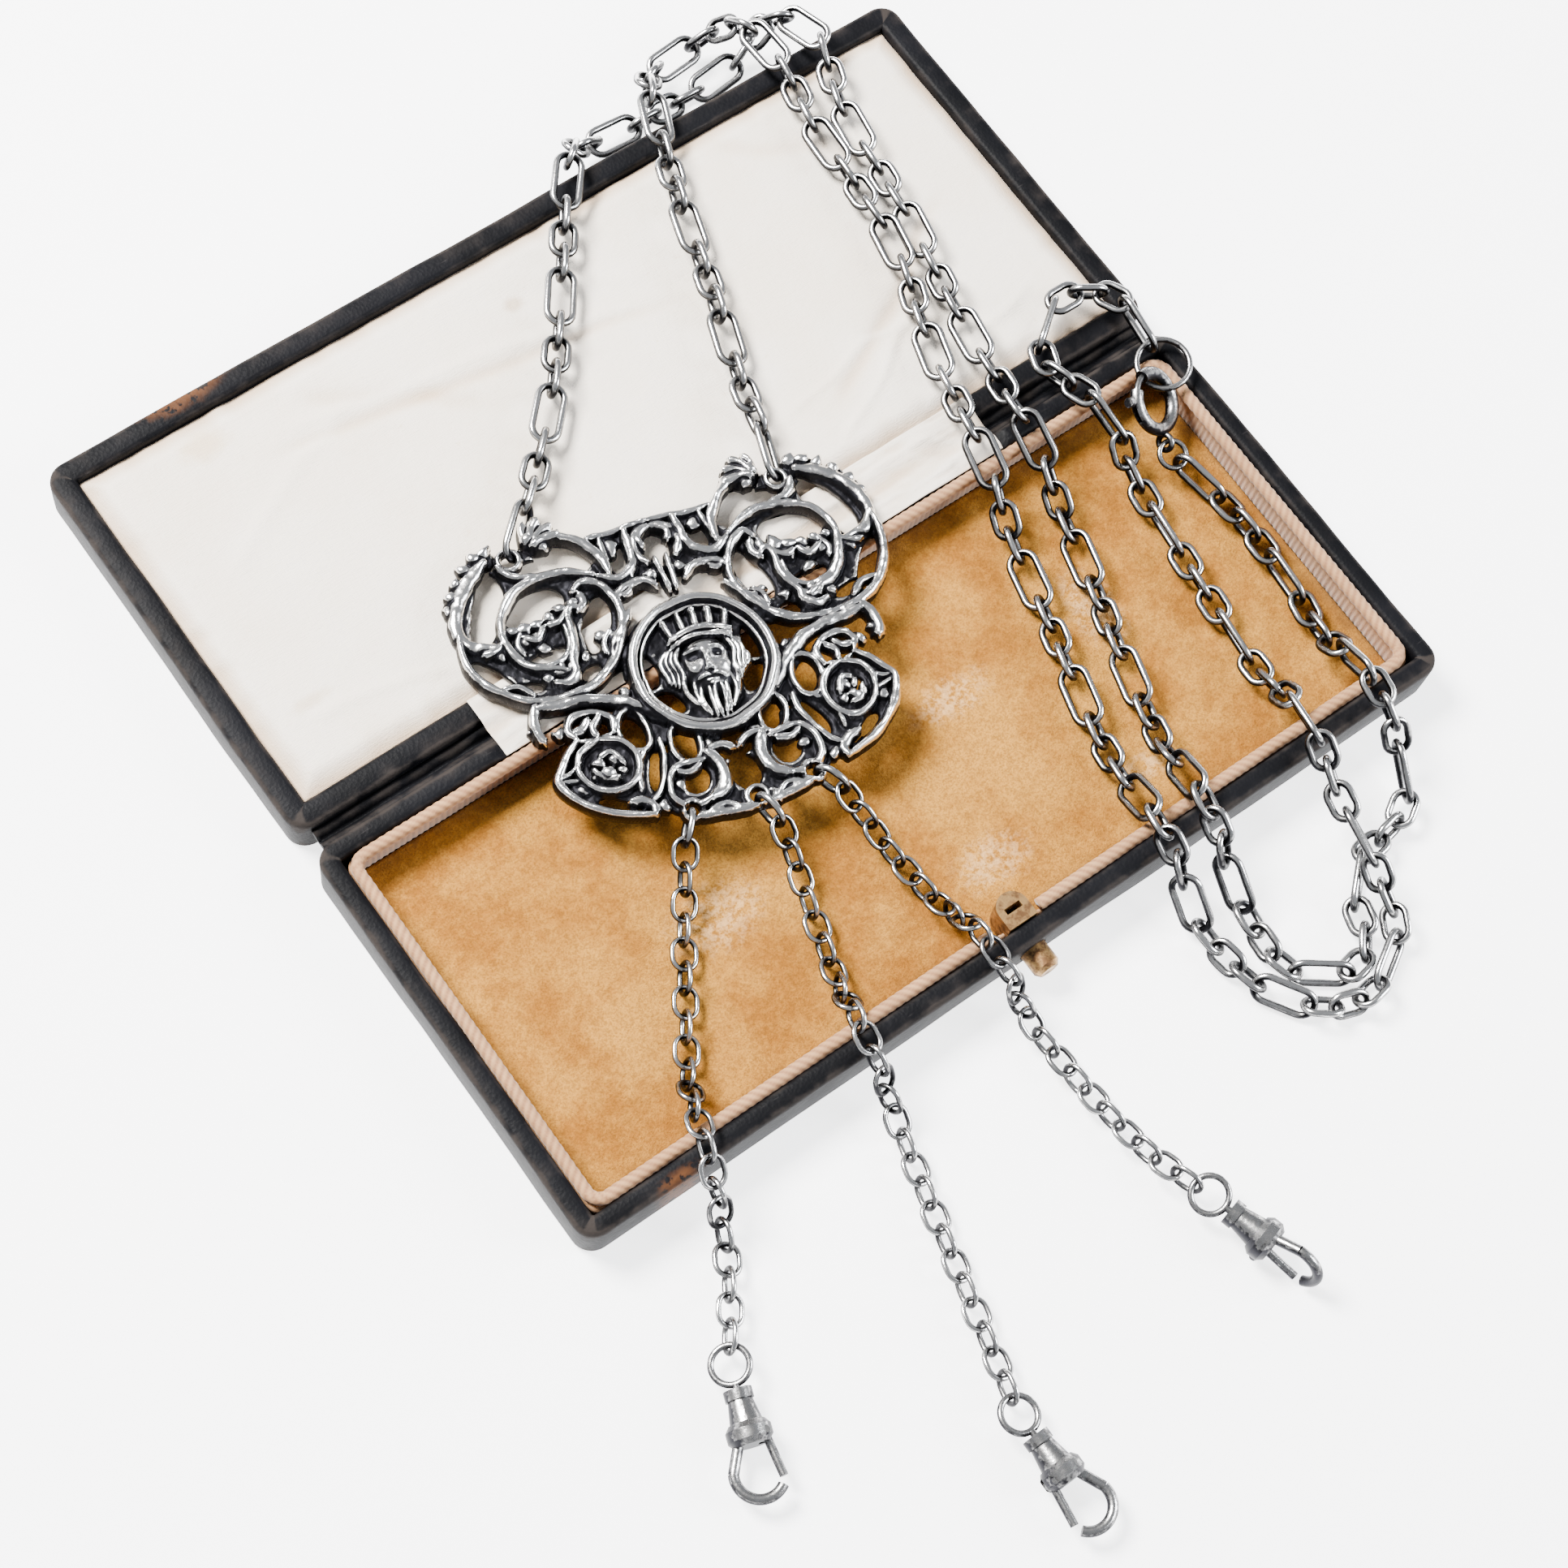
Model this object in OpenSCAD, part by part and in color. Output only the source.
// Silver chatelaine necklace laid over its open jewel case.
// Origin: centre of the case base's underside. +X right, +Y towards the lid, +Z up.

/* [Jewel case] */
// Width of the case
case_w = 150; // [148:0.5:152]
// Depth of each half of the case
half_d = 65.8; // [65:0.2:67]
// Height of the base
base_h = 8.6; // [8.4:0.1:9]
// Height of the lid
lid_h = 8; // [7.8:0.1:8.4]
// Width of the base's leather rim
base_rim = 3; // [2.8:0.1:3.2]
// Width of the lid's leather rim
lid_rim = 3.7; // [3.4:0.1:4]
// Width of the hinge strip between the halves
hinge_gap = 3.4; // [3:0.2:4]
// Thickness of the case's floor and of the lid's top board
board = 1.2; // [1:0.1:1.4]
// Radius of the case's upright corners
corner_r = 3.2; // [2.6:0.2:4]

/* [Case fittings] */
// Thickness of the velvet pad
pad_t = 1.3; // [1.1:0.1:1.5]
// Thickness of the ribbed cloth on the inner walls
wall_cloth_t = 0.8; // [0.6:0.1:1]
// Length of the silk flap over the hinge
flap_w = 87.4; // [84:0.2:88]
// Diameter of the corded piping
piping_d = 1.9; // [1.7:0.1:2]
// Diameter of the push button
button_d = 4.1; // [3.6:0.1:4.4]
// Length of the button outside the case
button_out = 3.8; // [3:0.2:4.6]
// Travel of the button
button_travel = 1.2; // [0.8:0.1:1.3]

/* [Plaque] */
// Width of the cast plaque
plaque_w = 63; // [61:0.5:64]
// Thickness of the plaque's pierced ground
ground_t = 1.3; // [1.2:0.1:1.6]
// Height of the boldest scrolls above the ground
relief = 1.5; // [1.2:0.1:1.8]

/* [Neck chain] */
// Length of the long links
long_l = 10; // [9.8:0.1:10.2]
// Width of the long links
long_w = 5; // [4.9:0.1:5.1]
// Length of the short links
short_l = 6.45; // [6.35:0.05:6.55]
// Width of the short links
short_w = 4.5; // [4.4:0.1:4.6]
// Wire of the neck chain
neck_wire = 1.04; // [1:0.02:1.08]

/* [Drop chains] */
// Length of the drop links
drop_l = 5.25; // [5.15:0.05:5.35]
// Width of the drop links
drop_w = 4.2; // [4.1:0.1:4.3]
// Wire of the drop chains
drop_wire = 0.75; // [0.7:0.05:0.8]
// Length of the jump rings under the plaque
jump_l = 6; // [5.9:0.1:6.2]
// Width of the jump rings under the plaque
jump_w = 5; // [4.8:0.1:5.2]
// Wire of the jump rings under the plaque
jump_wire = 1; // [0.9:0.05:1.05]

/* [Dog clips] */
// Outer diameter of a clip's ring
clip_ring_d = 6.1; // [5.8:0.1:6.3]
// Wire of a clip's ring
clip_ring_wire = 0.9; // [0.8:0.05:1]
// Diameter of a clip's big collar
collar_d = 6.2; // [6:0.1:6.3]
// Length of the hook past the big collar
hook_l = 7.8; // [7.5:0.1:8.2]
// Wire of the hook
hook_wire = 1.5; // [1.3:0.1:1.6]
// Opening swing of a gate
gate_swing = 25; // [15:1:28]

/* [Bolt ring] */
// Outer diameter of the bolt ring
bolt_ring_d = 10.4; // [10.2:0.1:10.6]
// Diameter of the bolt ring's tube
bolt_tube = 2; // [1.9:0.05:2.1]
// Opening swing of the bolt
bolt_swing = 30; // [20:1:32]

/* [Fit] */
// Gap between touching pieces
gap = 0.1; // [0.06:0.01:0.12]
// Radial clearance of the small pins in their bores
pin_gap = 0.12; // [0.1:0.01:0.14]
// Least play between two links of the neck chain
neck_play = 0.4; // [0.3:0.02:0.5]
// Least play between two links of a drop chain
drop_play = 0.2; // [0.15:0.01:0.25]
// Sides of round wires
wire_sides = 24; // [16:4:32]

/* [Hidden] */

black_leather = [0.09, 0.09, 0.11];
tan_velvet = [0.74, 0.5, 0.26];
cream_cloth = [0.86, 0.72, 0.55];
cream_silk = [0.93, 0.88, 0.82];
old_brass = [0.42, 0.31, 0.16];
silver = [0.75, 0.75, 0.77];

front_y = -half_d / 2;
back_y = half_d / 2;
lid_y = back_y + hinge_gap;
lid_far_y = lid_y + half_d;
pad_top = board + gap + pad_t;
piping_z = base_h - piping_d / 2 + 0.25;
piping_top = piping_z + piping_d / 2;
cavity_w = case_w - 2 * base_rim;
cavity_d = half_d - 2 * base_rim;
button_z = base_h / 2;

// Heights of a neck chain's centre line: on the floor, the pad, the lid and the base's rim.
link_lift = long_w / 2 + 0.03;
neck_levels = [[0, link_lift], [1, pad_top + link_lift], [2, lid_h + link_lift],
  [3, piping_top + link_lift], [4, 2 * piping_top]];
drop_lift = drop_w / 2 + 0.03;
drop_levels = [[0, drop_lift], [1, pad_top + drop_lift], [2, lid_h + drop_lift],
  [3, piping_top + drop_lift], [4, 2 * piping_top]];

// Plan shapes of the case.

// Rectangle with rounded corners, centred.
module round_rect(w, d, r) {
  steps = 6;
  polygon([
    for (c = [[1, 1, 0], [-1, 1, 90], [-1, -1, 180], [1, -1, 270]])
      for (k = [0:steps])
        [c.x * (w / 2 - r) + r * cos(c.z + 90 * k / steps),
          c.y * (d / 2 - r) + r * sin(c.z + 90 * k / steps)]
  ]);
}

// Flat slab with rounded corners, standing on z.
module slab(w, d, z, h, r) {
  translate([0, 0, z])
    linear_extrude(h)
      round_rect(w, d, r);
}

// Bar from the front to the back along Y.
module rod_y(d, from, to) {
  translate([0, from, 0])
    rotate([-90, 0, 0])
      cylinder(d = d, h = to - from, $fn = 48);
}

flap_x = -1.2;
flap_sag = 0.8;
catch_w = 4.8;
catch_back = front_y + base_rim + gap;
catch_len = catch_w + gap;
stem_d = 1.6;
stem_head_d = 2.6;
stem_end = catch_back + 1.4;

module case_base() {
  color(black_leather)
    difference() {
      slab(case_w, half_d, 0, base_h, corner_r);
      slab(cavity_w, cavity_d, board, base_h, corner_r - 1.2);
      translate([0, 0, button_z])
        rod_y(button_d + 2 * pin_gap, front_y - 1, catch_back + 0.4);
      translate([flap_x - flap_w / 2 - gap, cavity_d / 2 - 1, lid_h])
        cube([flap_w + 2 * gap, base_rim + 2, base_h]);
    }
}

module velvet_pad() {
  color(tan_velvet)
    slab(cavity_w - 2 * wall_cloth_t - 4 * gap, cavity_d - 2 * wall_cloth_t - 4 * gap,
      board + gap, pad_t, 1);
}

module wall_cloth() {
  cloth_z = board + gap;
  cloth_h = piping_z - piping_d / 2 - gap - cloth_z;
  color(cream_cloth)
    difference() {
      slab(cavity_w - 2 * gap, cavity_d - 2 * gap, cloth_z, cloth_h, corner_r - 1.3);
      slab(cavity_w - 2 * gap - 2 * wall_cloth_t, cavity_d - 2 * gap - 2 * wall_cloth_t,
        cloth_z - 1, cloth_h + 2, 1);
      translate([0, 0, button_z])
        rod_y(button_d + 2 * pin_gap, front_y - 1, catch_back + 2);
      translate([-catch_w / 2 - gap, front_y, pad_top])
        cube([catch_w + 2 * gap, base_rim + 2 * gap + 2 * wall_cloth_t, base_h]);
    }
}

// One straight of the piping, from one point to another.
module piping_run(a, b) {
  translate([a.x, a.y, piping_z])
    rotate([0, 90, atan2(b.y - a.y, b.x - a.x)])
      cylinder(d = piping_d, h = norm(b - a), $fn = 32);
}

module base_piping() {
  bend_r = 2;
  x = cavity_w / 2 - gap - piping_d / 2;
  y = cavity_d / 2 - gap - piping_d / 2;
  break_left = -5.2;
  break_right = 3.2;
  color(cream_cloth) {
    piping_run([-x + bend_r, y], [x - bend_r, y]);
    piping_run([-x, -y + bend_r], [-x, y - bend_r]);
    piping_run([x, -y + bend_r], [x, y - bend_r]);
    piping_run([-x + bend_r, -y], [break_left, -y]);
    piping_run([break_right, -y], [x - bend_r, -y]);
    for (c = [[1, 1, 0], [-1, 1, 90], [-1, -1, 180], [1, -1, 270]])
      translate([c.x * (x - bend_r), c.y * (y - bend_r), piping_z])
        rotate([0, 0, c.z])
          rotate_extrude(angle = 90, $fn = 48)
            translate([bend_r, 0])
              circle(d = piping_d, $fn = 32);
  }
}

// Brass housing behind the button, with the slot for the lid's tongue.
module catch_plate() {
  catch_z = pad_top + gap;
  catch_h = base_h - 0.1 - catch_z;
  color(old_brass)
    difference() {
      translate([0, catch_back, 0])
        union() {
          translate([-catch_w / 2, 0, catch_z])
            cube([catch_w, catch_len - catch_w / 2, catch_h]);
          translate([0, catch_len - catch_w / 2, catch_z])
            cylinder(d = catch_w, h = catch_h, $fn = 64);
        }
      translate([0, 0, button_z])
        rod_y(stem_d + 2 * pin_gap, catch_back - 1, stem_end);
      translate([0, 0, button_z])
        rod_y(stem_head_d + 2 * pin_gap, stem_end - 0.4, catch_back + catch_len - 0.7);
      translate([-1.3, catch_back + 2, button_z])
        cube([2.6, 0.9, base_h]);
    }
}

module push_button() {
  nose = 0.7;
  color(old_brass)
    translate([0, 0, button_z]) {
      rod_y(button_d, front_y - button_out + nose, catch_back - 0.1 - button_travel);
      translate([0, front_y - button_out, 0])
        rotate([-90, 0, 0])
          cylinder(d1 = button_d - 1.1, d2 = button_d, h = nose, $fn = 48);
      rod_y(stem_d, catch_back - 0.2 - button_travel, stem_end + 0.1);
      rod_y(stem_head_d, stem_end - 0.25, stem_end + 0.35);
    }
}

module hinge_strip() {
  strip_z = 5.4;
  color(black_leather)
    translate([-case_w / 2 + 3, back_y + gap, strip_z])
      cube([case_w - 6, hinge_gap - 2 * gap, 1.3]);
}

module at_lid() {
  translate([0, lid_y + half_d / 2, 0])
    children();
}

module lid_shell() {
  color(black_leather)
    at_lid()
      difference() {
        slab(case_w, half_d, 0, lid_h, corner_r);
        slab(case_w - 2 * lid_rim, half_d - 2 * lid_rim, board, lid_h, corner_r - 1.2);
      }
}

module lid_lining() {
  color(cream_silk)
    at_lid()
      slab(case_w - 2 * lid_rim - 2 * gap, half_d - 2 * lid_rim - 2 * gap, board + gap,
        lid_h - board - gap, corner_r - 1.3);
}

// Strip of the lid's silk laid over the hinge and the back rim, a little sunk at the hinge.
module silk_flap() {
  low = lid_h + gap;
  high = piping_top + 0.05;
  near = cavity_d / 2 + gap;
  far = lid_y + lid_rim - gap;
  hinge_y = (back_y + lid_y) / 2;
  dip = (lid_y - back_y) / 2 - gap;
  color(cream_silk)
    translate([flap_x - flap_w / 2, 0, 0])
      rotate([90, 0, 90])
        linear_extrude(flap_w)
          polygon([[near, low], [hinge_y - dip, low], [hinge_y, low - flap_sag], [hinge_y + dip, low],
            [far, low], [far, high], [hinge_y + dip, high], [hinge_y, high - flap_sag],
            [hinge_y - dip, high], [near, high]]);
}

// Links and their routes.

// Oval link lying flat, its length along X.
module link(size) {
  bend = (size[1] - size[2]) / 2;
  straight = (size[0] - size[1]) / 2;
  for (turn = [0, 180])
    rotate([0, 0, turn]) {
      translate([straight, 0, 0])
        rotate([0, 0, -90])
          rotate_extrude(angle = 180, $fn = 2 * wire_sides)
            translate([bend, 0])
              circle(d = size[2], $fn = wire_sides);
      translate([-straight, bend, 0])
        rotate([0, 90, 0])
          cylinder(d = size[2], h = 2 * straight, $fn = wire_sides);
    }
}

// Round ring of wire lying flat.
module ring(d, wire) {
  rotate_extrude($fn = 72)
    translate([(d - wire) / 2, 0])
      circle(d = wire, $fn = wire_sides);
}

// Sizes of the links: [length, width, wire, play].
long = [long_l, long_w, neck_wire, neck_play];
short = [short_l, short_w, neck_wire, neck_play];
drop = [drop_l, drop_w, drop_wire, drop_play];
jump = [jump_l, jump_w, jump_wire, drop_play];

// Pitch of a link: its clear length less the play.
function pitch(size) = size[0] - 2 * size[2] - size[3];

// A row of a route is [x, y, level]: hundredths of the case's width and of a half's depth,
// then the height as a level between the surfaces that the chain lies on.
function way(rows, levels) = [
  for (row = rows) [row[0] * case_w / 100, row[1] * half_d / 100, lookup(row[2], levels)]
];

// Distance along a way at each of its points.
function miles(way) = [
  for (i = 0, s = 0; i < len(way);
    s = s + (i + 1 < len(way) ? norm(way[i + 1] - way[i]) : 0), i = i + 1) s
];

// Way as three tables that look up x, y and z from the distance along it.
function tables(way) =
  let (s = miles(way))
    [for (k = [0:2]) [for (i = [0:len(way) - 1]) [s[i], way[i][k]]]];

function spot(t, s) = [lookup(s, t[0]), lookup(s, t[1]), lookup(s, t[2])];

// Distance along the way of the point that lies straight ahead by a step.
function ahead(t, s, step, guess, tries = 6) =
  tries == 0 ? guess
  : ahead(t, s, step, s + (guess - s) * step / norm(spot(t, guess) - spot(t, s)), tries - 1);

// Size of link i: the first link, then a repeating list.
function sized(first, rest, i) = i == 0 ? first : rest[(i - 1) % len(rest)];

// Distances along the way of the joints between the links.
function joints(t, n, first, rest, ease) = [
  for (i = 0, s = 0; i <= n;
    s = ahead(t, s, ease * pitch(sized(first, rest, i)), s + pitch(sized(first, rest, i))),
    i = i + 1) s
];

// Number of links that cover a length; it is odd, so that both end links lean alike.
function odd(n) = n + 1 - n % 2;

function count(t, length, first, rest, i = 0, s = 0) =
  s > length - 0.01 ? odd(i)
  : count(t, length, first, rest, i + 1,
      ahead(t, s, pitch(sized(first, rest, i)), s + pitch(sized(first, rest, i))));

// Ease that lets the links end where the way ends, found between two bounds.
function eased(t, n, length, first, rest, low = 0.9, high = 1.01, tries = 16) =
  let (middle = (low + high) / 2)
    tries == 0 ? middle
    : joints(t, n, first, rest, middle)[n] > length
      ? eased(t, n, length, first, rest, low, middle, tries - 1)
      : eased(t, n, length, first, rest, middle, high, tries - 1);

// Chain of links along a way: every second link stands up, the others lie nearly flat, and
// a twist turns them over towards the end of the chain.
module chain(way, first, rest, first_roll, roll, twist = 0) {
  last = len(way) - 1;
  length = miles(way)[last];
  t = tables(concat(way, [way[last] + 20 * (way[last] - way[last - 1])]));
  n = count(t, length, first, rest);
  s = joints(t, n, first, rest, eased(t, n, length, first, rest));
  for (i = [0:n - 1]) {
    a = spot(t, s[i]);
    b = spot(t, s[i + 1]);
    step = b - a;
    turned = roll + 90 * (i % 2) + twist * pow(i / n, 2) + 4 * sin(97 * i);
    translate((a + b) / 2)
      rotate([0, -asin(step.z / norm(step)), atan2(step.y, step.x)])
        rotate([i == 0 ? first_roll : turned, 0, 0])
          link(sized(first, rest, i));
  }
}

// Joint of a link with a ring that it hangs in, on the ring's side towards a point.
function hooked(centre, ring_d, wire, towards) =
  centre + (ring_d / 2 - wire - drop_play / 2) * (towards - centre) / norm(towards - centre);

// Plaque.

plaque_turn = -14.8;
plaque_at = [-14.1, 28.2, piping_top + 0.15];
unit = plaque_w / 200;

module at_plaque() {
  translate(plaque_at)
    rotate([0, 0, plaque_turn])
      children();
}

function on_plaque(x, y, z) =
  plaque_at + [cos(plaque_turn) * x - sin(plaque_turn) * y,
    sin(plaque_turn) * x + cos(plaque_turn) * y, z];

eye_at = [64, 67];
eye_wire = 1;
eye_d = 3.9;
lower_eyes = [[-29, -72], [0, -75], [29, -72]];

// Right half of the ground as discs: [x, y, radius], all in hundredths of half the width.
ground_discs = [
  [64, 31, 35], [0, -9, 36], [55, -46, 21], [63, -42, 12], [26, -58, 17], [10, -66, 13],
  [10, 50, 14], [24, 44, 12], [36, -26, 14], [40, 10, 10]
];

// Pierced openings of the right half: [x, y, half length, half width, turn].
openings_right = [
  [47, 58, 13, 5, 12], [82, 47, 16, 6, -63], [61, 42, 12.5, 7, -8], [37.5, 26, 12, 4.6, 113],
  [61, 17, 8, 3.2, 5], [90, 15, 11, 4, 58], [77, 5.5, 6.5, 2.4, 12], [48, 4.5, 5, 3, -20],
  [18.5, 52, 6, 4, 100], [19, 30, 8, 4.2, -8],
  [25, -4, 8, 4.4, 85], [20, -21, 7, 4.2, 48], [40, -7.5, 5.5, 4, -25],
  [41, -28, 7.5, 4.6, 76], [20, -41.5, 6.5, 4, 78], [38.5, -48, 9, 2.4, -68],
  [61, -39.5, 3.4, 3, 20], [60, -58.5, 6.5, 2.6, 32], [69, -47, 3.6, 2.4, 60],
  [22, -58, 6, 6.5, 0], [52, -62, 3, 1.8, 20]
];

// Pierced openings on the middle line.
openings_middle = [[0, 51, 7, 5, 90], [0, 32, 4, 3, 90], [0, -62, 8, 6.5, 90], [0, -46, 7, 3, 0]];

// Raised scrolls of the right half: [x, y, radius, from, to, width, height].
scrolls = [
  [64, 31, 33, 0, 360, 4.4, 0.9], [58.5, 28, 22, -84, 140, 4.6, 1], [52, 27, 27, 64, 150, 4, 0.8],
  [64, 23, 19, 165, 250, 4.6, 1], [61, 22, 10, 200, 340, 4, 0.9],
  [56, -35, 27, 92, 188, 4.4, 0.95], [41, -28, 9.5, 0, 360, 3.2, 0.8],
  [57.5, -40, 13, 0, 360, 3.8, 0.9],
  [54, -44, 25, -82, 6, 4.4, 0.9], [60, -40, 26, 178, 232, 3.6, 0.8], [20, -41.5, 8, 0, 360, 3.2, 0.8],
  [22, -58, 9.5, 0, 360, 3.6, 0.85], [21, 54, 10.5, 195, 345, 3.8, 0.8], [0.7, 52, 11, -27, 205, 4, 0.85],
  [63, -21, 9, 60, 250, 3.4, 0.8],
  [0, -61, 10, 10, 80, 3.8, 0.85]
];

// Knobs and leaf lumps of the right half: [x, y, radius, height].
lumps = [
  [50, 34, 3.6, 1.1], [54.5, 35.5, 3.2, 1.2], [59.5, 34, 3, 1], [69, 32, 2.8, 0.9],
  [72, 28, 3.4, 1], [46, 30, 3, 1], [86, 27, 4, 1], [91, 25, 3, 0.8], [62, 6, 3.4, 0.9],
  [57.5, -40, 4.6, 1.2], [45, -70, 4, 0.9],
  [52, 73, 4.4, 1], [46, 75, 3.8, 0.9], [30, 19, 4, 1],
  [73, -30, 4, 0.9], [12, -77, 3, 0.8], [24, -74, 3, 0.8], [6, 66, 4, 0.7],
  [14, 62, 4, 0.8], [26, 60, 4, 0.8], [33, 50, 4, 0.8]
];

// Leaf tips of the right half: from [x, y, radius] to [x, y, radius].
tips = [
  [[63, -40, 9], [79.5, -42, 1.2]], [[52, -58, 10], [46.5, -71, 1.2]], [[78, -4, 3.4], [79, -22, 1.4]],
  [[49, 66, 6], [44, 79, 2]], [[50, 66, 6], [51, 80, 2]], [[72, 60, 7], [79, 73, 2]],
  [[66, -28, 8], [73, -26, 2]], [[10, -66, 9], [20, -76, 2]]
];

medal_y = -9;
medal_r = 34;
head_r = 26;

module disc(x, y, r, h) {
  translate([x * unit, y * unit, 0])
    cylinder(r = r * unit, h = h, $fn = 16);
}

module piercing(row) {
  translate([row[0] * unit, row[1] * unit, -1])
    rotate([0, 0, row[4]])
      scale([row[2] * unit, row[3] * unit, 1])
        cylinder(r = 1, h = 9, $fn = 9);
}

// Half round bar bent to an arc.
module scroll(row) {
  half = row[5] * unit / 2;
  lap = min(1.7, (360 - row[4] + row[3]) / 2);
  low = 0.22 + 0.0031 * row[2] + 0.05 * row[6];
  top = ground_t + row[6] * relief;
  translate([row[0] * unit, row[1] * unit, 0])
    rotate([0, 0, row[3] - lap])
      rotate_extrude(angle = row[4] - row[3] + 2 * lap, $fn = max(9, ceil(0.68 * row[2])))
        translate([row[2] * unit, 0])
          polygon([[-half, low], [half, low], [0, top]]);
}

module lump(row) {
  translate([row[0] * unit, row[1] * unit, 0.32])
    cylinder(r1 = 1.2 * row[2] * unit, r2 = 0.5 * row[2] * unit,
      h = ground_t - 0.32 + row[3] * relief, $fn = 6);
}

module tip(row) {
  hull()
    for (end = row)
      translate([end[0] * unit, end[1] * unit, 0.2])
        cylinder(r1 = 1.1 * end[2] * unit, r2 = 0.6 * end[2] * unit, h = ground_t, $fn = 9);
}

// One side of the beaded edge outside the frame: small grains along the big circle.
module grains() {
  for (turn = [20:9:70])
    translate([64 * unit, 31 * unit, 0])
      rotate([0, 0, turn])
        translate([36.5 * unit, 0, 0.2])
          cylinder(r1 = 3 * unit, r2 = 1.8 * unit, h = ground_t + 0.5, $fn = 5);
}

module plaque_half() {
  difference() {
    union() {
      for (d = ground_discs)
        disc(d[0], d[1], d[2], ground_t);
      for (row = tips)
        tip(row);
      for (row = lumps)
        lump(row);
      grains();
    }
    for (row = openings_right)
      piercing(row);
  }
  for (row = scrolls)
    scroll(row);
}

// Ellipsoid knob for the head.
module bead(at, size) {
  translate([at.x * unit, at.y * unit, at.z * relief])
    scale([size.x * unit, size.y * unit, size.z * relief])
      sphere(r = 1, $fn = 8);
}

// Bearded head under a pointed crown, turned slightly to its left.
module crowned_head() {
  translate([0, medal_y * unit, ground_t - 0.13]) {
    bead([1, 1, 0], [11, 14, 1.5]);
    bead([2.5, -3, 1.2], [1.8, 5, 0.7]);
    for (side = [-1, 1]) {
      bead([1.5 + 4.6 * side, -1.5, 0.9], [2.6, 2.8, 0.5]);
      bead([1.5 + 4.8 * side, 4.4, 1], [3.4, 1.2, 0.5]);
      for (k = [0:4])
        bead([1 + 12.5 * side - 0.4 * k * side, 7 - 5.2 * k, 0], [3.4, 3.2, 1.1]);
      for (k = [0:2])
        bead([1.5 + (3 + 2.6 * k) * side, -12 + 2.6 * k, 0.5], [2.8, 4.6, 0.9]);
    }
    bead([1.5, -15, 0.4], [5, 5, 0.9]);
    bead([2, -9.5, 1.1], [3, 0.9, 0.4]);
    bead([1, 11.5, 0.4], [13.5, 3.2, 1]);
    for (k = [-2:2])
      translate([(1 + 5.2 * k) * unit, (12.5 - 0.5 * k * k) * unit, 0])
        rotate([0, 0, -7 * k])
          hull() {
            translate([0, 0, -0.2])
              cylinder(r = 2.4 * unit, h = 1.1, $fn = 8);
            translate([0, 6 * unit, -0.2])
              cylinder(r = 0.8 * unit, h = 0.8, $fn = 8);
          }
  }
}

module medallion() {
  translate([0, medal_y * unit, 0])
    rotate_extrude($fn = 36)
      polygon([[head_r * unit, 0], [medal_r * unit, 0], [medal_r * unit, ground_t + 0.8 * relief],
        [(medal_r - 2.5) * unit, ground_t + 1.2 * relief],
        [(medal_r - 5) * unit, ground_t + 0.8 * relief],
        [(head_r + 1.6) * unit, ground_t + 0.6 * relief], [head_r * unit, ground_t]]);
}

module plaque_eye(at, d, wire, hole_z) {
  translate([at.x * unit, at.y * unit, hole_z])
    rotate_extrude($fn = 14)
      translate([(d - wire) / 2, 0])
        circle(d = wire, $fn = 6);
}

eye_z = 1.3;

module plaque() {
  color(silver)
    at_plaque()
      difference() {
        union() {
          plaque_half();
          mirror([1, 0, 0])
            plaque_half();
          medallion();
          crowned_head();
          for (side = [-1, 1])
            plaque_eye([side * eye_at.x, eye_at.y], eye_d, eye_wire, eye_z);
          for (at = lower_eyes)
            plaque_eye(at, eye_d, eye_wire, eye_z);
        }
        translate([-40, -40, -5])
          cube([80, 80, 5]);
        for (row = openings_middle)
          piercing(row);
        for (side = [-1, 1])
          translate([side * eye_at.x * unit, eye_at.y * unit, -1])
            cylinder(d = eye_d - 2 * eye_wire, h = 9, $fn = 12);
        for (at = lower_eyes)
          translate([at.x * unit, at.y * unit, -1])
            cylinder(d = eye_d - 2 * eye_wire, h = 9, $fn = 12);
      }
}

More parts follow.
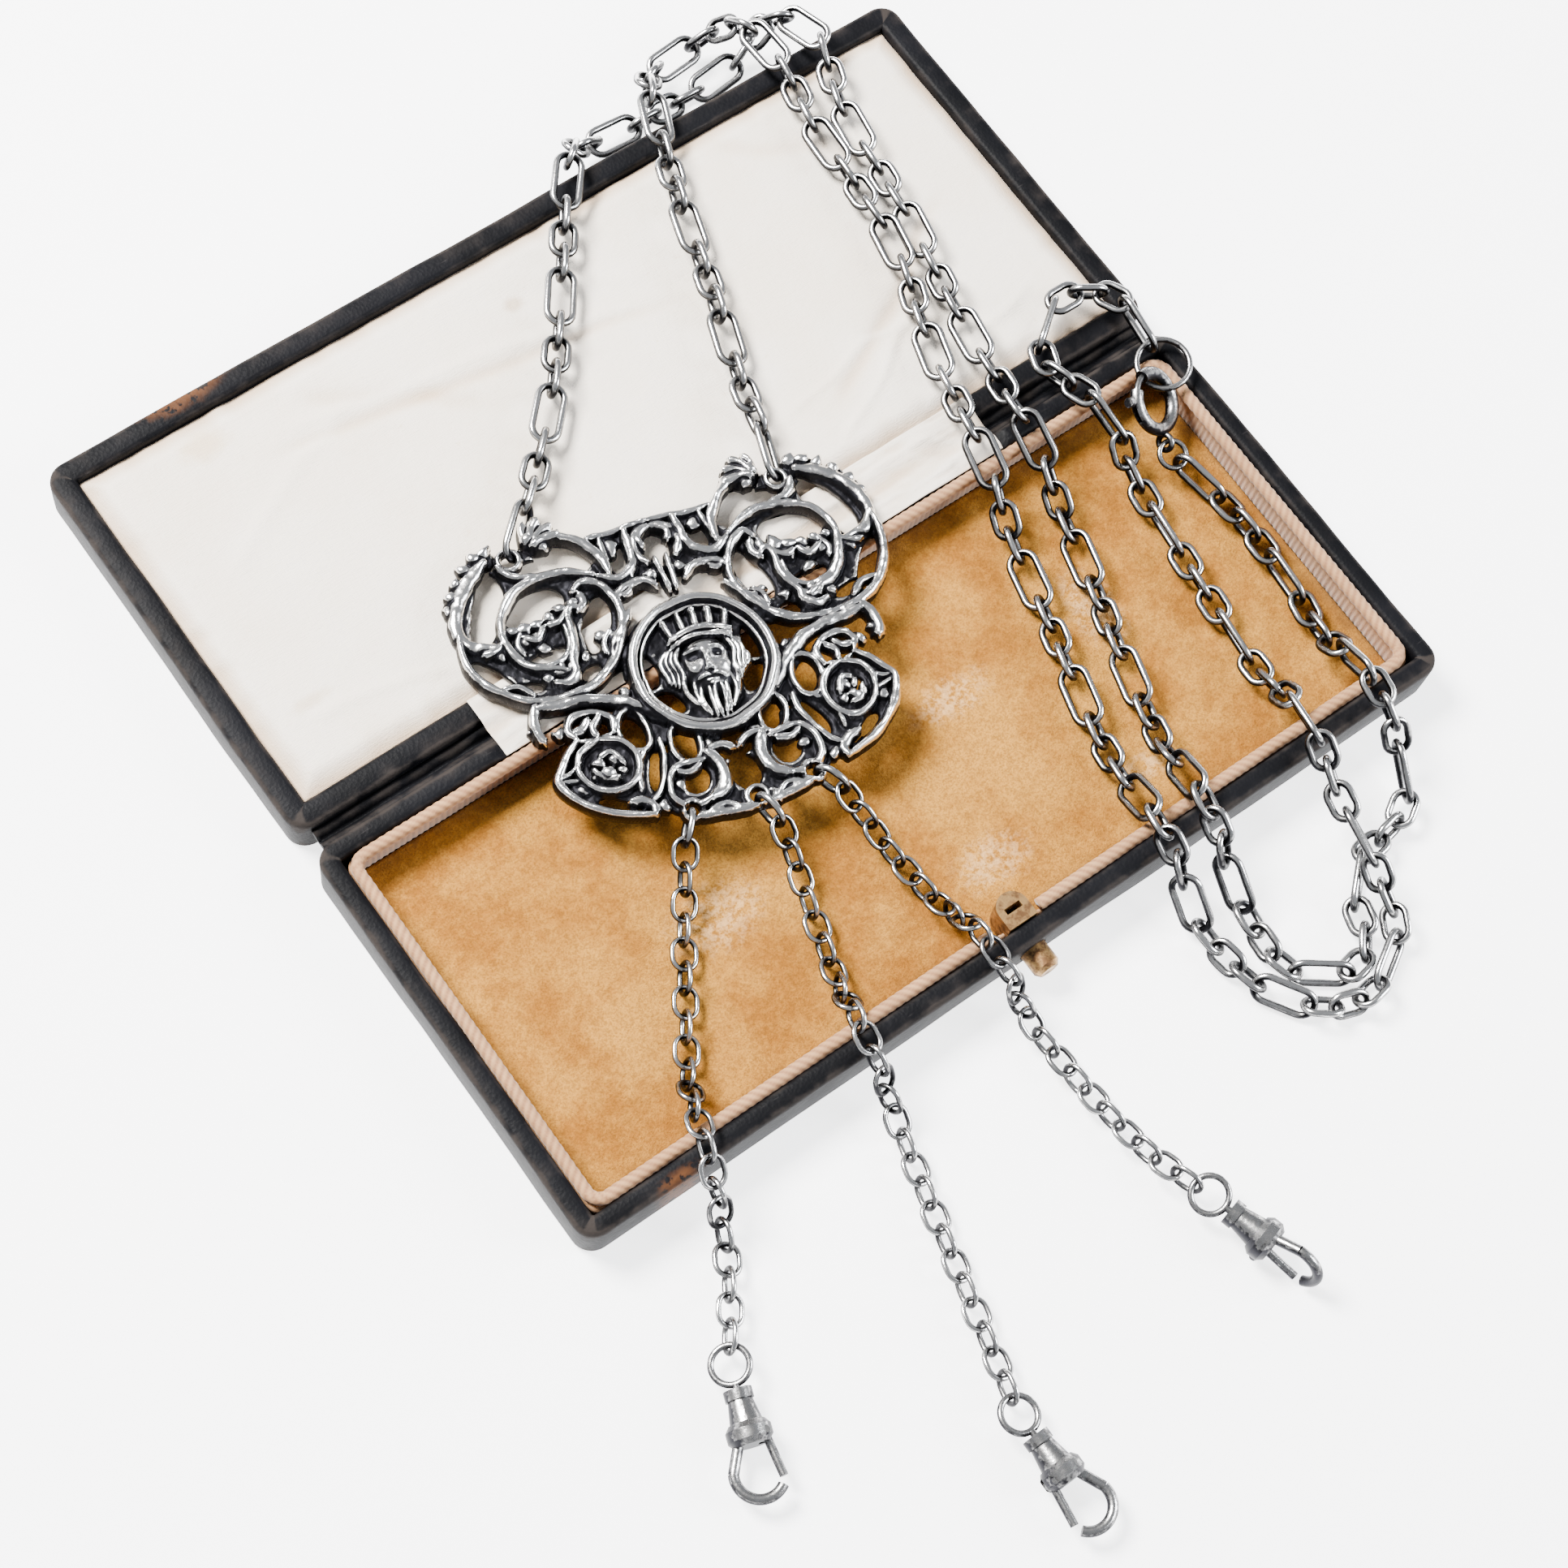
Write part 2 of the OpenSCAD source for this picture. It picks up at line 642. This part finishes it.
// Neck chain: it starts in an eye of the plaque, crosses the lid, turns behind it, comes back
// over the hinge and the velvet, loops in front of the case and returns to the bolt ring.
left_rows = [
  [-12.8, 93.5, 2], [-6.3, 107.4, 2], [0.5, 126.4, 2], [6.3, 144.1, 2], [8.7, 151.2, 2.82],
  [10.7, 156.4, 2.71], [12.3, 160.2, 1.68], [13.6, 162, 1.16], [15.7, 162.6, 0.33],
  [18.3, 162.6, 0], [30, 162.3, 0], [33.3, 163.1, 0.18], [35.5, 164.7, 0.91], [37.3, 165.5, 1.42],
  [38.7, 163.7, 1.86], [39.7, 159, 3.08], [40.2, 152.9, 3.22], [39.1, 145.1, 2], [36.9, 131.6, 2],
  [36.3, 117.9, 2], [35.5, 103.8, 2], [34.3, 91.6, 2], [33, 77.4, 2], [31.9, 63.7, 2.35],
  [31.1, 51.7, 3.05], [30.7, 43.3, 3.08], [30.5, 38, 1.9], [30.3, 33.4, 1.42], [29.7, 27.4, 1.04],
  [29, 21.3, 1], [27.7, 10.3, 1], [25, -9.1, 1], [22.9, -26.4, 1], [22, -33.1, 1.31],
  [21.4, -37.5, 1.99], [20.8, -43.2, 3.14], [20.3, -49.4, 3.08], [20, -54.7, 1.94],
  [19.9, -57.8, 1.35], [19.7, -61.4, 0.64], [19.5, -66.3, 0], [19, -73.7, 0], [18.8, -79.8, 0],
  [19.5, -85.7, 0], [20.9, -89.7, 0], [23.2, -92.1, 0], [25.5, -92.1, 0], [27.4, -88.9, 0],
  [28.3, -83.6, 0], [28.7, -79, 0], [29.7, -76, 0], [31.5, -73.6, 0], [33.3, -72.6, 0],
  [36.3, -72.3, 0], [38.8, -70.5, 0], [40.4, -66.6, 0.33], [40.7, -61.7, 1.05],
  [40.9, -58.1, 1.57], [41.1, -54.4, 2.91], [41.4, -48.6, 3.19], [41.7, -43.2, 3.22],
  [42.3, -37.1, 2.55], [42.5, -33.1, 1.33], [42.9, -26.7, 1], [43.9, -15.2, 1.02], [44.2, 2.3, 1],
  [43.9, 9.1, 1], [43.1, 16.7, 1.17]
];

right_rows = [
  [8.8, 74.3, 2], [10.2, 87.8, 2], [13.9, 110.5, 2], [16.6, 130.1, 2], [19.1, 145.9, 2],
  [20.4, 153.5, 2.94], [21.6, 159.6, 2.71], [22.8, 164.7, 1.75], [24.1, 168.4, 1.27],
  [25.7, 170.7, 0.64], [28.3, 171.9, 0.18], [31, 172.2, 0.53], [33.1, 171.1, 1.2],
  [34.3, 168.7, 1.57], [34.9, 165, 1.98], [35.2, 159.6, 3.06], [35.2, 153.5, 2.94],
  [34.8, 145.9, 2], [33.7, 134.7, 2], [33.3, 119.8, 2], [32.8, 104.9, 2], [31.7, 93.3, 2],
  [29.5, 81, 2], [27.7, 68.5, 2], [26.1, 54, 3.05], [25.3, 44.8, 3.09], [24.8, 38.4, 1.94],
  [24.3, 33.4, 1.42], [23.5, 26.7, 1.04], [22.8, 18.2, 1], [20.3, -1.8, 1], [17.9, -21.7, 1],
  [16.9, -32.5, 1.31], [16.4, -37.7, 1.86], [15.8, -43.2, 3.08], [15.3, -49.4, 3.08],
  [15.1, -54.7, 1.94], [14.9, -57.8, 1.35], [14.8, -61.7, 0.64], [14.7, -66.9, 0],
  [14.9, -74.5, 0], [15.7, -82.8, 0], [17.3, -90.3, 0], [19.7, -95.7, 0], [22.9, -98.5, 0],
  [26.3, -97.3, 0], [29.5, -93.3, 0], [31.1, -86.5, 0.18], [31.3, -79.6, 1.07],
  [31.7, -73.9, 1.51], [32.1, -66.9, 1.51], [32.5, -60.8, 1.57], [32.8, -56.2, 1.94],
  [33.1, -50.8, 3.19], [33.9, -43.2, 3.27], [34.4, -37.4, 1.98], [34.8, -32.8, 1.33],
  [35.2, -26.4, 1], [36.4, -2.7, 1.02], [37.3, 14, 1.02], [37.7, 21.3, 1.04], [38, 27.4, 1.27],
  [38.3, 32.5, 1.86], [38.5, 38, 3.17], [37.3, 46.2, 3.09], [36.3, 53.8, 3], [37.1, 59.4, 3],
  [39.1, 63.7, 3.02], [41.2, 66.4, 3.03], [43.7, 66.4, 3.05], [46, 63.1, 3.06], [47.1, 57.8, 3.13]
];

neck_links = [short, short, short, long];

left_eye = on_plaque(-eye_at.x * unit, eye_at.y * unit, eye_z);
right_eye = on_plaque(eye_at.x * unit, eye_at.y * unit, eye_z);

// Closing pieces: the big ring, the bolt ring and the small ring at the chain's end.
closing_at = [case_w * 7 / 15, 27.2, 10.4];
closing_tilt = [2, -6, 0];
closing_d = 8.8;
closing_wire = 0.9;
bolt_at = [0.434 * case_w, 23.1, 10.2];
bolt_tilt = [30, 30, 0];
bolt_eye_d = 3.2;
bolt_eye_wire = 0.9;
end_ring_lean = 15;
end_ring_d = 5;
end_ring_wire = 0.8;

// Chain from an eye of the plaque to a ring.
module neck_chain(eye, rows, ring_at, ring_d, ring_wire) {
  way = way(rows, neck_levels);
  chain(concat([hooked(eye, eye_d, eye_wire, way[0])], way,
    [hooked(ring_at, ring_d, ring_wire, way[len(way) - 1])]), long, neck_links, 60, 12, 90);
}

// Turned as the bolt ring leans.
function leant(v) =
  let (u = [v.x, v.y * cos(bolt_tilt.x) - v.z * sin(bolt_tilt.x),
    v.y * sin(bolt_tilt.x) + v.z * cos(bolt_tilt.x)])
    [u.x * cos(bolt_tilt.y) + u.z * sin(bolt_tilt.y), u.y,
      u.z * cos(bolt_tilt.y) - u.x * sin(bolt_tilt.y)];

bolt_eye = bolt_at + leant([0, 0.55 - (bolt_ring_d + bolt_eye_d) / 2, 0]);
end_ring_at = bolt_eye - (end_ring_d - end_ring_wire) / 2
  * [0, cos(end_ring_lean), sin(end_ring_lean)];

module neck_chain_left() {
  color(silver)
    neck_chain(left_eye, left_rows, end_ring_at, end_ring_d, end_ring_wire);
}

module neck_chain_right() {
  color(silver)
    neck_chain(right_eye, right_rows, closing_at, closing_d, closing_wire);
}

// Drop chains.
drop_left_rows = [
  [-20.7, 10.6, 1.98], [-22.1, 5.9, 1.64], [-23.7, 0.6, 1.24], [-25.5, -4.9, 1], [-29.3, -17.8, 1],
  [-32.9, -29.8, 1], [-34.1, -34.3, 1.27], [-35.1, -38.3, 1.86], [-36.1, -43.2, 3.12],
  [-37.1, -49.5, 3.1], [-37.7, -54.3, 1.92], [-38, -56.5, 1.38], [-38.4, -59.6, 0.72],
  [-39.3, -64.4, 0], [-41.6, -72.9, 0.35]
];
drop_middle_rows = [
  [-13.1, 1.5, 1.98], [-13.3, -3.6, 1.64], [-13.9, -9.1, 1.24], [-14.5, -14.9, 1], [-15.5, -22, 1],
  [-16.5, -29.8, 1], [-17.5, -34.7, 1.27], [-18.1, -38.3, 1.86], [-18.8, -43.2, 3.12],
  [-19.3, -49.5, 3.09], [-19.5, -54.3, 1.9], [-19.5, -56.5, 1.38], [-19.6, -59.6, 0.72],
  [-20, -64.4, 0], [-22.1, -82.2, 0], [-23.9, -98.6, 0], [-25.2, -110, 0.08]
];
drop_right_rows = [
  [-6.4, 1.8, 1.98], [-5.9, -3.3, 1.64], [-5.5, -9.1, 1.24], [-5.3, -14.6, 1], [-5.1, -21.3, 1],
  [-4.7, -29.8, 1], [-4.6, -34.7, 1.27], [-4.6, -38.3, 1.88], [-4.7, -43.2, 3.13],
  [-4.7, -49.5, 3.1], [-4.5, -54.3, 1.92], [-4.4, -56.5, 1.38], [-4.3, -59.6, 0.72],
  [-4.1, -64.4, 0], [-3.7, -80.7, 0], [-3.1, -93, 0], [-2.5, -100.9, 0.27]
];

module drop_chain(eye, rows, clip) {
  start = on_plaque(eye.x * unit, eye.y * unit, eye_z);
  way = way(rows, drop_levels);
  color(silver)
    chain(concat([hooked(start, eye_d, eye_wire, way[0])], way,
      [hooked(ring_centre(clip), clip_ring_d, clip_ring_wire, way[len(way) - 1])]),
      jump, [drop], 80, 72);
}

// Dog clips: [swivel point, heading, roll of the body, roll of the ring].
clip_left = [[-68.8, -58, 3.25], -110, 180, 14];
clip_middle = [[-40.6, -85.2, 3.25], -90, 0, -12];
clip_right = [[-0.7, -76.7, 4], -75.4, 80, 16];

ring_r = (clip_ring_d - clip_ring_wire) / 2;
post_d = 1;
post_head_d = 1.9;
neck_d = 3.9;
neck_end = 2.15;
barrel_end = 5.2;
collar_end = 8.2;
pivot = [7, -2];
pin_d = 0.9;
gate_d = 1.2;
gate_t = 1.24;
gate_l = 6.05;
hook_r = 3.4;
hook_at = [collar_end + hook_l - hook_r - hook_wire / 2, 0.1];

// Centre of a clip's ring.
function ring_centre(clip) = clip[0] - ring_r * [cos(clip[1]), sin(clip[1]), 0];

module at_clip(clip, roll) {
  translate(clip[0])
    rotate([0, 0, clip[1]])
      rotate([roll, 0, 0])
        children();
}

module rod_x(d, from, to) {
  translate([from, 0, 0])
    rotate([0, 90, 0])
      cylinder(d = d, h = to - from, $fn = 40);
}

module clip_ring(clip) {
  color(silver)
    at_clip(clip, clip[3]) {
      translate([-ring_r, 0, 0])
        ring(clip_ring_d, clip_ring_wire);
      rod_x(post_d, 0, 1.9);
      rod_x(post_head_d, 1.6, 2.1);
    }
}

// Straight wire between two points of the hook's plane.
module wire(a, b, d) {
  translate([a.x, a.y, 0])
    rotate([0, 90, atan2(b.y - a.y, b.x - a.x)])
      cylinder(d = d, h = norm(b - a), $fn = 32);
}

module clip_body(clip) {
  shoulder = hook_at + hook_r * [cos(100), sin(100)];
  color(silver)
    at_clip(clip, clip[2]) {
      difference() {
        union() {
          rod_x(neck_d, 0.75, neck_end);
          translate([neck_end - 0.1, 0, 0])
            rotate([0, 90, 0])
              cylinder(d1 = 3.3, d2 = 4.5, h = barrel_end - neck_end + 0.2, $fn = 40);
          translate([barrel_end, 0, 0])
            rotate([0, 90, 0])
              cylinder(d1 = collar_d - 1.2, d2 = collar_d, h = 0.8, $fn = 40);
          rod_x(collar_d, barrel_end + 0.8, collar_end - 0.8);
          translate([collar_end - 0.8, 0, 0])
            rotate([0, 90, 0])
              cylinder(d1 = collar_d, d2 = collar_d - 1.4, h = 0.8, $fn = 40);
        }
        rod_x(post_d + 2 * pin_gap, 0, 1.5);
        rod_x(post_head_d + 2 * pin_gap, 1.4, 2.5);
        translate([pivot.x - 1.2, -collar_d, -gate_t / 2 - pin_gap])
          cube([collar_end, collar_d - 0.85, gate_t + 2 * pin_gap]);
      }
      translate([pivot.x, pivot.y, -2.35])
        cylinder(d = pin_d, h = 4.7, $fn = 32);
      for (side = [-1, 1])
        translate([pivot.x, pivot.y, 2.15 * side])
          rotate([side < 0 ? 180 : 0, 0, 0])
            cylinder(d1 = 1.3, d2 = 0.9, h = 0.35, $fn = 32);
      wire([collar_end - 0.7, 1.7], shoulder, hook_wire);
      translate([hook_at.x, hook_at.y, 0])
        rotate([0, 0, -50])
          rotate_extrude(angle = 150, $fn = 64)
            translate([hook_r, 0])
              circle(d = hook_wire, $fn = 32);
    }
}

module clip_gate(clip) {
  tip_at = pivot + gate_l * [cos(-8.3), sin(-8.3)];
  color(silver)
    at_clip(clip, clip[2])
      difference() {
        union() {
          translate([pivot.x, pivot.y, -gate_t / 2])
            cylinder(d = 1.9, h = gate_t, $fn = 40);
          wire(pivot, tip_at, gate_d);
        }
        translate([pivot.x, pivot.y, -gate_t])
          cylinder(d = pin_d + 2 * pin_gap, h = 2 * gate_t, $fn = 40);
      }
}

// Bolt ring: a bent tube with a gap, closed by a sprung bolt that slides inside it.
bolt_r = (bolt_ring_d - bolt_tube) / 2;
bore_d = 1.2;
bolt_d = 0.92;
gap_from = 112;
gap_to = 150;

module at_bolt_ring() {
  translate(bolt_at)
    rotate(bolt_tilt)
      children();
}

// Bent round bar in the plane of the ring.
module bow(r, d, from, to) {
  rotate([0, 0, from])
    rotate_extrude(angle = to - from, $fn = 96)
      translate([r, 0])
        circle(d = d, $fn = 32);
}

module bolt_ring() {
  color(silver)
    at_bolt_ring() {
      difference() {
        bow(bolt_r, bolt_tube, gap_to, gap_from + 360);
        bow(bolt_r, bore_d, gap_to - 5, gap_to + 102);
        bow(bolt_r, bore_d, gap_from - 12, gap_from + 2);
        rotate([0, 0, gap_to + 14])
          rotate_extrude(angle = bolt_swing + 16, $fn = 96)
            translate([bolt_r, -0.35])
              square([bolt_tube, 0.7]);
      }
      translate([0, 0.55 - (bolt_ring_d + bolt_eye_d) / 2, 0])
        rotate([0, 90, 0])
          ring(bolt_eye_d, bolt_eye_wire);
    }
}

module ring_bolt() {
  knob_turn = gap_to + 22;
  color(silver)
    at_bolt_ring() {
      bow(bolt_r, bolt_d, gap_from - 7, gap_to + 34);
      rotate([0, 0, knob_turn])
        translate([bolt_r, 0, 0])
          rotate([0, 90, 0])
            cylinder(d = 0.5, h = bolt_tube / 2 + 0.5, $fn = 24);
      rotate([0, 0, knob_turn])
        translate([bolt_r + bolt_tube / 2 + 0.25, 0, 0])
          rotate([0, 90, 0])
            cylinder(d = 1.5, h = 0.9, $fn = 24);
    }
}

module bolt_end_ring() {
  color(silver)
    translate(end_ring_at)
      rotate([end_ring_lean, 0, 0])
        ring(end_ring_d, end_ring_wire);
}

module closing_ring() {
  color(silver)
    translate(closing_at)
      rotate(closing_tilt)
        ring(closing_d, closing_wire);
}

module drop_chain_left() {
  drop_chain(lower_eyes[0], drop_left_rows, clip_left);
}

module drop_chain_middle() {
  drop_chain(lower_eyes[1], drop_middle_rows, clip_middle);
}

module drop_chain_right() {
  drop_chain(lower_eyes[2], drop_right_rows, clip_right);
}

case_base();
velvet_pad();
wall_cloth();
base_piping();
catch_plate();
push_button();
hinge_strip();
lid_shell();
lid_lining();
silk_flap();
plaque();
neck_chain_left();
neck_chain_right();
drop_chain_left();
drop_chain_middle();
drop_chain_right();
clip_ring(clip_left);  // clip_ring_left
clip_ring(clip_middle);  // clip_ring_middle
clip_ring(clip_right);  // clip_ring_right
clip_body(clip_left);  // clip_body_left
clip_body(clip_middle);  // clip_body_middle
clip_body(clip_right);  // clip_body_right
clip_gate(clip_left);  // clip_gate_left
clip_gate(clip_middle);  // clip_gate_middle
clip_gate(clip_right);  // clip_gate_right
bolt_ring();
ring_bolt();
bolt_end_ring();
closing_ring();
